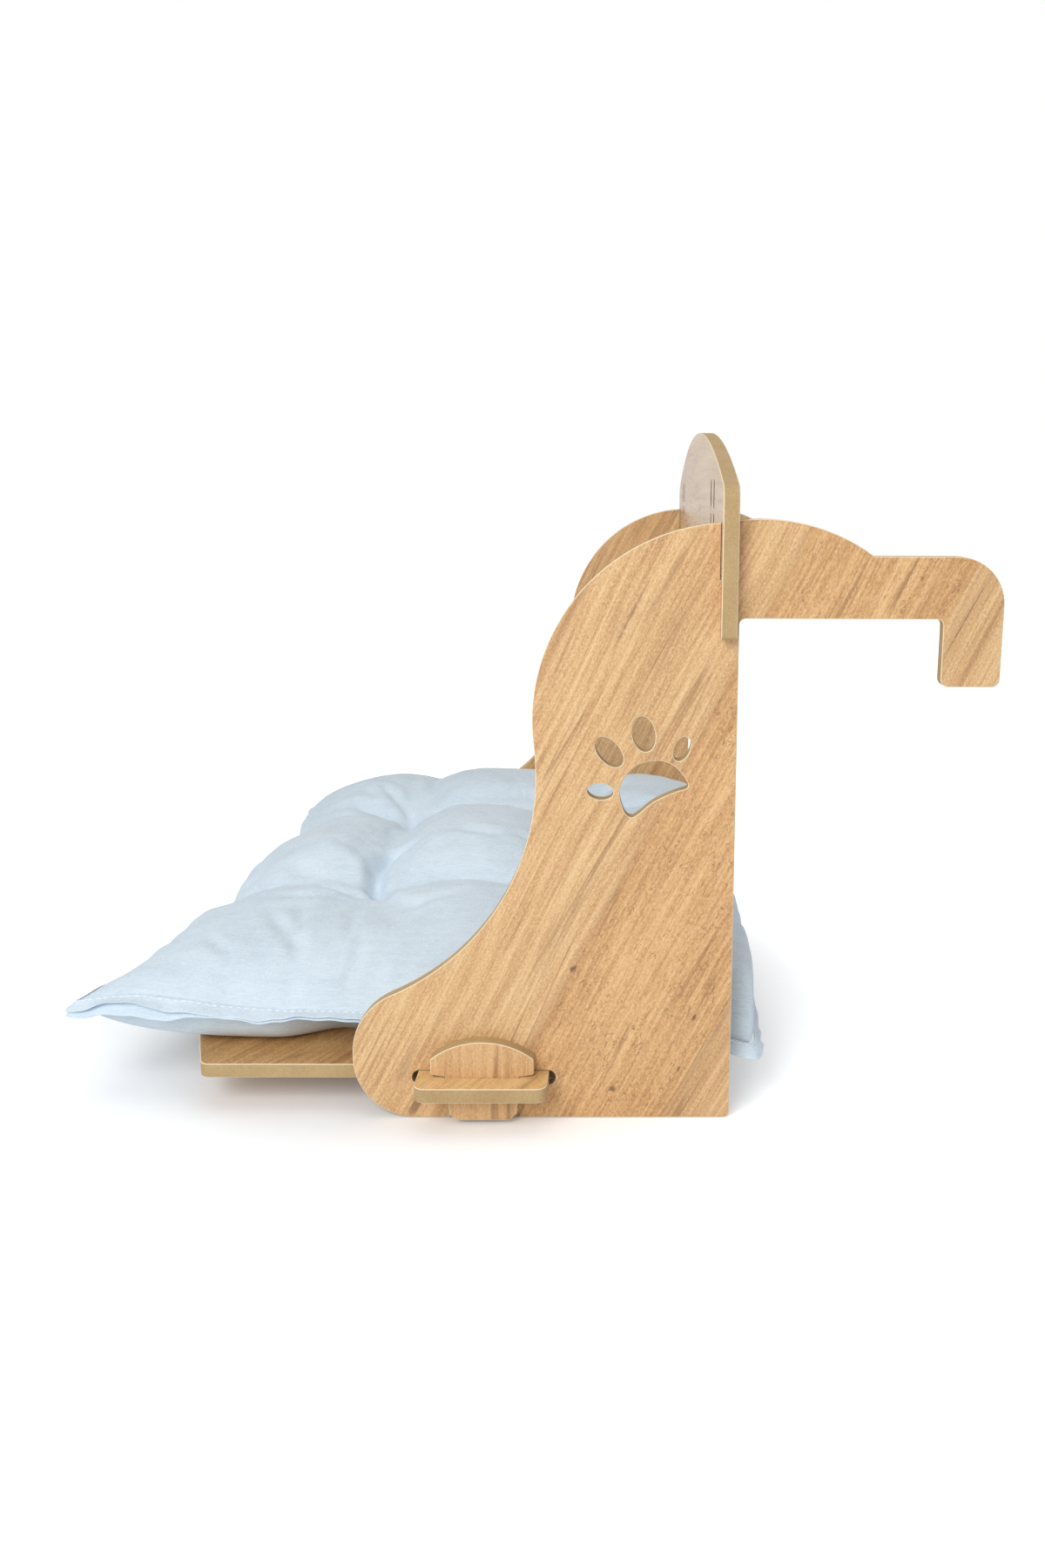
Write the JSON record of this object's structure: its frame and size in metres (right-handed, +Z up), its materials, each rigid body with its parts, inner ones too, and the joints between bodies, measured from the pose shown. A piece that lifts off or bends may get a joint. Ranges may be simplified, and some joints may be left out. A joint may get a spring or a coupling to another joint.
{
  "type": "radiator cat bed",
  "caption": "Flat-pack cat bed of slotted wooden boards that hooks over a panel radiator, with paw cut-outs, an arched headboard and a tufted cushion.",
  "frame": {"origin": "on the floor, below the middle of the whole bed's box", "axes": "+X towards the radiator, +Y along the radiator, +Z up"},
  "size_m": [0.494, 0.541, 0.369],
  "materials": {
    "wood_foil": "satin wood-grain foil on both faces, bare pale fibreboard on the cut edges",
    "cotton": "washed pale blue-grey cotton with top-stitched flange"
  },
  "bodies": {
    "frame": {"near_side_panel": "wood_foil", "far_side_panel": "wood_foil", "shelf_board": "wood_foil"},
    "near_key": {"near_wedge_key": "wood_foil"},
    "far_key": {"far_wedge_key": "wood_foil"},
    "headboard": {"headboard": "wood_foil"},
    "cushion": {"cushion": "cotton"}
  },
  "joints": [
    {"name": "near_key_lift", "type": "slide", "parent": "frame", "child": "near_key", "axis": [0, 0, 1], "range_m": [0, 0.03]},
    {"name": "far_key_lift", "type": "slide", "parent": "frame", "child": "far_key", "axis": [0, 0, 1], "range_m": [0, 0.03]},
    {"name": "headboard_lift", "type": "slide", "parent": "frame", "child": "headboard", "axis": [0, 0, 1], "range_m": [0, 0.06]},
    {"name": "cushion_lift", "type": "slide", "parent": "frame", "child": "cushion", "axis": [0, 0, 1], "range_m": [0, 0.1]}
  ]
}
